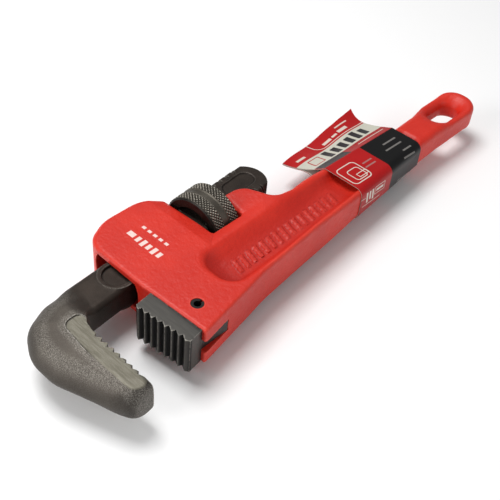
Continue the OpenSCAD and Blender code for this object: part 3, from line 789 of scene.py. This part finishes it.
# Painted shade on the rounded side below the ridge, near the back edge.
steel = forged.mix(forged.layer("from_back").rise(3.0, 0.6) * head * 0.5, steel, srgb(62, 57, 52))
steel = forged.mix(y.rise(-6, -14) * head * 0.45, steel, srgb(40, 37, 35))
# Bright grains: wear, with the painted highlight of the ridge and the step.
steel = forged.mix(wear_and_highlight.both(1) * 0.7, steel, srgb(192, 187, 178))
# Convex edges lighter: wear, together with a painted highlight.
edge_wear_and_highlight = bend.rise(0.6, 2.2) * (0.1 + 0.5 * scale_skin.rise(0.4, 0.6)) * (0.35 + 0.65 * head)
steel = forged.mix(edge_wear_and_highlight, steel, srgb(186, 182, 174))
# Painted shade, near black, in the concave creases.
steel = forged.mix(bend.rise(-0.3, -1.5) * 0.75, steel, srgb(32, 28, 25))
steel = forged.mix(forged.layer("milled"), steel,
                   forged.mix(milling.rise(0.3, 0.7), srgb(108, 104, 92), srgb(128, 124, 112)))
forged.finish(base_color=steel, roughness=0.42 + 0.25 * scale_skin)
forged.bump(scale_skin * 0.6 + pits * 0.4, 0.0002, 0.7)
hook.data.materials.append(forged.material)

# ---------------------------------------------------------------------------
# Adjusting nut. Turned steel with two knurled bands and a plain band between; its
# thread draws the shank in and out.
# ---------------------------------------------------------------------------
NUT_RADIUS = 13.0
NUT_LENGTH = 12.8
KNURLS = 56

PLAIN_HALF = 1.5
KNURL_DEPTH = 0.42
PER_KNURL = 10


def nut_surface():
    """Radius from length and angle: a chamfered profile, less on both bands the depth of whichever
    of two crossed sets of V grooves is nearer."""
    half = NUT_LENGTH / 2
    profile = np.array([
        (-half, 9.3), (-half, 10), (-half, NUT_RADIUS - 0.8), (-half + 0.6, NUT_RADIUS),
        (-PLAIN_HALF, NUT_RADIUS), (-1.1, NUT_RADIUS - 0.5), (1.1, NUT_RADIUS - 0.5),
        (PLAIN_HALF, NUT_RADIUS), (half - 0.6, NUT_RADIUS), (half, NUT_RADIUS - 0.8), (half, 10),
        (half, 9.3)])
    run = np.r_[0, np.cumsum(np.hypot(*np.diff(profile, axis=0).T))]
    s = np.unique(np.r_[run, np.arange(0, run[-1], 0.16)])
    along = np.interp(s, run, profile[:, 0])[:, None]
    radius = np.interp(s, run, profile[:, 1])[:, None]
    angle = np.linspace(0, 2 * pi, KNURLS * PER_KNURL, endpoint=False)[None, :]
    u = angle * KNURLS / (2 * pi)
    v = along / (2 * pi * NUT_RADIUS) * KNURLS * 1.05
    ridge = np.minimum(np.abs((u + v) % 1 - 0.5), np.abs((u - v) % 1 - 0.5)) * 2
    crest = np.clip(ridge * 1.6, 0, 1)
    on_band = np.clip((np.abs(along) - PLAIN_HALF) / 0.3, 0, 1)
    on_band = on_band * np.clip((half - 0.5 - np.abs(along)) / 0.3, 0, 1)
    radius = radius - KNURL_DEPTH * (1 - crest) * on_band
    lean = radians(SHANK_LEAN)
    across = radius * np.cos(angle)
    x = NUT_CENTRE[0] + along * cos(lean) - across * sin(lean)
    y = NUT_CENTRE[1] + along * sin(lean) + across * cos(lean)
    points = np.stack(np.broadcast_arrays(x, y, radius * np.sin(angle)), 2)
    rows, columns = points.shape[:2]
    i = np.arange(rows)[:, None]
    j = np.arange(columns)[None, :]
    k = i * columns + j
    right = i * columns + (j + 1) % columns
    up = ((i + 1) % rows) * columns + j
    corner = ((i + 1) % rows) * columns + (j + 1) % columns
    faces = np.stack([k, right, corner, up], 2).reshape(-1, 4)
    # A value for the colour: the knurl's relief on the bands, a fixed middle on the plain band, and less
    # at the ends.
    plain = np.where(np.abs(along) < half - 0.5, 0.5, 0.1)
    height = crest * on_band + (1 - on_band) * plain
    return points.reshape(-1, 3), faces, height.ravel()


nut_points, nut_faces, nut_height = nut_surface()
nut = surface("knurled_nut", nut_points, nut_faces, crease=50)
layer(nut, "height", nut_height)
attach(nut, "nut")
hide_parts("adjusting_nut")
turned = Paint("nut_steel", metallic=0.75)
oil = turned.noise(500, 3)
height = turned.layer("height")
# Painted shade in the knurl's grooves, the plain band mid grey and the ends darker; the crests' tops take
# a painted highlight that also stands for wear.
steel = turned.mix(height.rise(0.1, 0.75), srgb(30, 28, 25), srgb(114, 108, 98))
steel = turned.mix(height.rise(0.8, 1.0) * 0.85, steel, srgb(188, 182, 170))
turned.finish(base_color=turned.mix(oil.rise(0.3, 0.7) * 0.4, steel, srgb(62, 56, 50)),
              roughness=0.36 + 0.2 * oil)
nut.data.materials.append(turned.material)

# ---------------------------------------------------------------------------
# Roll pin, flat spring and rivet: small steel pieces kept as they are cut. The coil
# spring is wound wire standing in the housing's pocket.
# ---------------------------------------------------------------------------
WIRE_RADIUS = 0.35
COIL_RADIUS = 2.05
COIL_TURNS = 5
COIL_STEPS = 180
WIRE_SIDES = 12


def coil_surface():
    """A tube round a helix: a circle of the wire's radius, set out from the coil's axis by the coil's
    radius and carried down its length evenly with the turn. Both ends are capped."""
    turn = np.linspace(0, 2 * pi * COIL_TURNS, COIL_STEPS + 1)[:, None]
    ring = np.linspace(0, 2 * pi, WIRE_SIDES, endpoint=False)[None, :]
    radius = COIL_RADIUS + WIRE_RADIUS * np.cos(ring)
    along = COIL_AT + radius * np.cos(turn)
    across = COIL_TOP - COIL_LENGTH * turn / turn.max() + WIRE_RADIUS * np.sin(ring)
    lean = radians(SHANK_LEAN)
    x = NUT_CENTRE[0] + along * cos(lean) - across * sin(lean)
    y = NUT_CENTRE[1] + along * sin(lean) + across * cos(lean)
    points = np.stack([x, y, radius * np.sin(turn)], 2).reshape(-1, 3)
    k = np.arange(COIL_STEPS)[:, None] * WIRE_SIDES
    j = np.arange(WIRE_SIDES)[None, :]
    right = (j + 1) % WIRE_SIDES
    below = k + WIRE_SIDES
    wound = np.stack([k + j, k + right, below + right, below + j], 2).reshape(-1, 4)
    last = WIRE_SIDES - 1
    cap = np.array([[i, last - i, last - 1 - i, i + 1] for i in range(WIRE_SIDES // 2 - 1)])
    end_cap = cap[:, ::-1] + COIL_STEPS * WIRE_SIDES
    return points, np.vstack([wound, cap, end_cap])


coil_points, coil_faces = coil_surface()
coil = surface("coil_spring_wire", coil_points, coil_faces)
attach(coil, "handle")
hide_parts("coil_spring")
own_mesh(coil)


def small_steel(node, dark, light, roughness):
    """A drawn-steel finish for a small piece that keeps its own mesh: dark and light mixed by fine
    noise."""
    paint = Paint(node + "_steel", metallic=0.8, roughness=roughness)
    drawn = paint.noise(900, 3)
    paint.finish(base_color=paint.mix(drawn, dark, light), roughness=roughness + 0.15 * drawn)
    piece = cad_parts[node]
    piece.data.materials.clear()
    piece.data.materials.append(paint.material)


small_steel("heel_jaw_pin", srgb(30, 28, 27), srgb(52, 50, 48), 0.35)
small_steel("flat_spring", srgb(120, 121, 122), srgb(150, 151, 152), 0.3)
small_steel("spring_rivet", srgb(110, 111, 112), srgb(140, 141, 142), 0.3)
wire = Paint("coil_spring_steel", metallic=0.8)
drawn = wire.noise(900, 3)
bright = wire.mix(drawn, srgb(140, 141, 142), srgb(170, 171, 172))
wire.finish(base_color=bright, roughness=0.25 + 0.15 * drawn)
coil.data.materials.append(wire.material)

# ---------------------------------------------------------------------------
# Label. One printed card folded round the grip, its two ends laid together and glued
# into a flap that stands out from the back edge in loose waves.
# ---------------------------------------------------------------------------
CARD = 0.35
CARD_GAP = 0.15
CARD_START = 88.2
CARD_LENGTH = 44.6
CARD_BEND = 3.6
FLAP_EDGE = (38.6, 42.0)
FLAP_POINTS = 34
TOP_POINTS = 24
BEND_POINTS = 10
WALL_POINTS = 8
CARD_ROWS = 110
BLACK_FROM = 22.0


def flap_path(u):
    """Upper ply from its outer edge to the fold at u along the label: it leaves the fold falling,
    then levels off and waves, its far corner curling up."""
    out = np.linspace(1, 0, FLAP_POINTS)
    fold = 18.0 - 0.6 * u
    y = fold + out * (FLAP_EDGE[0] + (FLAP_EDGE[1] - FLAP_EDGE[0]) * u - fold)
    level = -2.4 * out + 2.2 * out * u + 0.6 * out * np.sin(2 * pi * (u * 1.6 + 0.1))
    curl = np.clip((u - 0.75) / 0.25, 0, 1) * np.clip((out - 0.55) / 0.45, 0, 1) ** 2
    level = level + 2.2 * curl
    return out, y, level


def card_section(u):
    """The card's path across the handle at u: upper ply, top, front wall, bottom and lower ply. Gives
    each point, the way out of the card and the print's distance from the fold."""
    x = CARD_START + CARD_LENGTH * u
    front = np.interp(x, STATIONS[:3, 0], STATIONS[:3, 1]) - CARD_GAP - CARD
    half = np.interp(x, STATIONS[:3, 0], STATIONS[:3, 3]) + CARD_GAP + CARD
    out, y, level = flap_path(u)
    ply = CARD + 0.04
    parting = (half - ply) * (1 - out) ** 5 + ply
    upper = (half - ply) * (1 - out) ** 1.8 + ply + level
    bend = np.linspace(0, pi / 2, BEND_POINTS)
    flat = np.linspace(y[-1], front + CARD_BEND, TOP_POINTS)[1:]
    arc_y = front + CARD_BEND * (1 - np.sin(bend))[1:]
    arc_z = half - CARD_BEND * (1 - np.cos(bend))[1:]
    wall = np.linspace(half - CARD_BEND, 0, WALL_POINTS)[1:]
    over_y = np.r_[y, flat, arc_y, front + 0 * wall]
    over_z = np.r_[upper, half + 0 * flat, arc_z, wall]
    under_z = np.r_[upper - 2 * parting, -half + 0 * flat, -arc_z, -wall]
    path = np.r_[np.c_[over_y, over_z], np.c_[over_y, under_z][-2::-1]]
    step = np.gradient(path, axis=0)
    away = np.c_[-step[:, 1], step[:, 0]] * -1
    away /= np.linalg.norm(away, axis=1, keepdims=True)
    run = np.r_[0, np.cumsum(np.hypot(*np.diff(path, axis=0).T))]
    shift = np.clip(np.r_[out, 0 * flat, 0 * arc_y, 0 * wall], 0, 1)
    shift = np.r_[shift, shift[-2::-1]]
    corner = u ** 6 * np.clip((shift - 0.5) / 0.5, 0, 1) ** 2
    along = x + shift * (-0.8 * (1 - u) + 0.6 * u) + 3.4 * corner
    return np.c_[along, path], np.c_[0 * along, away], run[len(out) - 1] - run


def sheet(rows, columns):
    """Quads of a grid of rows by columns, numbered row by row."""
    k = np.arange(rows - 1)[:, None] * columns + np.arange(columns - 1)
    return np.stack([k, k + columns, k + columns + 1, k + 1], 2).reshape(-1, 4)


stations = np.linspace(0, 1, CARD_ROWS)
outside, away, print_v = (np.stack(part) for part in zip(*map(card_section, stations)))
inside = outside - away * CARD
rows, columns = print_v.shape
count = rows * columns
front_quads = sheet(rows, columns)
edges = [np.arange(columns)[::-1], (rows - 1) * columns + np.arange(columns),
         np.arange(rows) * columns, np.arange(rows)[::-1] * columns + columns - 1]
rims = [np.stack([e[:-1], e[1:], e[1:] + count, e[:-1] + count], 1) for e in edges]
faces = np.vstack([front_quads, front_quads[:, ::-1] + count, *rims])
card_points = np.vstack([outside.reshape(-1, 3), inside.reshape(-1, 3)])
label = surface("label_sleeve", card_points, faces, crease=60)
layer(label, "print_u", np.tile(np.repeat(stations * CARD_LENGTH, columns), 2))
layer(label, "print_v", np.tile(print_v.ravel(), 2))
layer(label, "back", np.repeat((0, 1), count))
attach(label, "handle")
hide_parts("label_card")

card_print = Paint("printed_card", coat_weight=0.05, specular_ior_level=0.2)
u, v = card_print.layer("print_u"), card_print.layer("print_v")


def patch(cu, cv, half_u, half_v, radius=0.0, line=None, lean=0.0):
    """1 inside a rounded box of the print, or on its outline only when a line's width is given: the
    distance out of the smaller square box, less the corner's radius."""
    du = abs(u - cu - lean * (v - cv)) - (half_u - radius)
    dv = abs(v - cv) - (half_v - radius)
    corner = (du.either(0) * du.either(0) + dv.either(0) * dv.either(0)).root()
    away = corner + du.either(dv).both(0) - radius
    if line is None:
        return away.rise(0.08, -0.08)
    return abs(away).rise(line / 2 + 0.08, line / 2 - 0.08)


def stamped(ground, boxes, colour, strength=1.0):
    """The ground with a set of boxes printed over it in one colour."""
    drawn = patch(*boxes[0][:4], **boxes[0][4])
    for cu, cv, half_u, half_v, more in boxes[1:]:
        drawn = drawn.either(patch(cu, cv, half_u, half_v, **more))
    return card_print.mix(drawn * strength, ground, colour)


PAPER = srgb(196, 194, 180)
BLACK_INK = srgb(12, 12, 13)
ink = card_print.mix(card_print.noise(50).rise(0.3, 0.7), srgb(176, 20, 22), srgb(164, 16, 18))
black = v.rise(0.04, -0.04) * u.rise(BLACK_FROM - 0.05, BLACK_FROM + 0.05)
ink = card_print.mix(black, ink, BLACK_INK)
ink = stamped(ink, [
    (6.6, -9.4, 5.4, 5.4, dict(radius=2.0, line=0.45)), (7.4, -10.4, 3.2, 3.2, dict(radius=1.4, line=0.4)),
    (9.4, -11.6, 2.8, 1.0, dict(line=0.35)), (1.4, -22.6, 1.6, 0.15, {}),
    (4.2, -23.0, 0.55, 2.6, dict(lean=-0.15)), (6.3, -22.6, 0.55, 2.2, dict(lean=-0.15)),
    (8.4, -23.0, 0.55, 2.6, dict(lean=-0.15)), (13.4, -22.2, 3.6, 1.9, dict(radius=0.5, line=0.3)),
    (13.4, -22.2, 2.6, 0.6, dict(radius=0.2)), (8, -26.6, 6.5, 0.15, {}),
], srgb(214, 208, 196))
ink = stamped(ink, [
    (17.0, -7.8, 2.9, 0.35, {}), (16.4, -10.2, 3.2, 0.35, {}),
    (35.4, -5.2, 4.2, 0.4, {}), (34.0, -8.6, 5.2, 0.4, {}), (37.4, -13.0, 2.8, 0.4, {}),
    (36.0, -16.2, 4.0, 0.4, {}), (33.5, -26.0, 5.0, 0.35, {}),
], srgb(150, 146, 142), 0.55)
ink = stamped(ink, [(22.0, 10.6, 40, 4.8, {})], PAPER)
ink = stamped(ink, [(22.5, 3.1, 40, 2.7, {})], srgb(158, 22, 22))
ink = stamped(ink, [(9.0, 3.1, 8.6, 2.7, dict(radius=0.6))], srgb(24, 23, 25))
dark_bars = [(14.4 + 4.6 * k, 10.2 + (0.5 if k in (0, 4) else 0), 1.5, 3.0 + (0.7 if k in (0, 4) else 0),
              dict(radius=0.4, lean=0.16)) for k in range(6)]
ink = stamped(ink, dark_bars, srgb(42, 40, 42))
ink = stamped(ink, [(7.0, 10.6, 3.0, 3.0, dict(radius=0.3, line=0.6, lean=0.3))], srgb(170, 22, 24))
ink = stamped(ink, [
    (33.0, 24.6, 17.0, 8.2, dict(radius=3.8, line=0.45)), (23.2, 18.6, 2.6, 0.8, dict(radius=0.2)),
    (28.4, 18.8, 1.6, 0.6, dict(radius=0.2)), (34.0, 19.2, 2.8, 0.9, dict(radius=0.2)),
    (6.0, 18.2, 2.6, 0.7, dict(radius=0.2)), (34, 3.4, 8.5, 0.25, {}), (36.0, 22.2, 3.6, 0.35, {}),
], srgb(214, 206, 194), 0.9)
ink = card_print.mix(card_print.layer("back"), ink, srgb(196, 194, 184))
card_print.finish(base_color=ink, roughness=0.3 + 0.12 * card_print.noise(200))
label.data.materials.append(card_print.material)
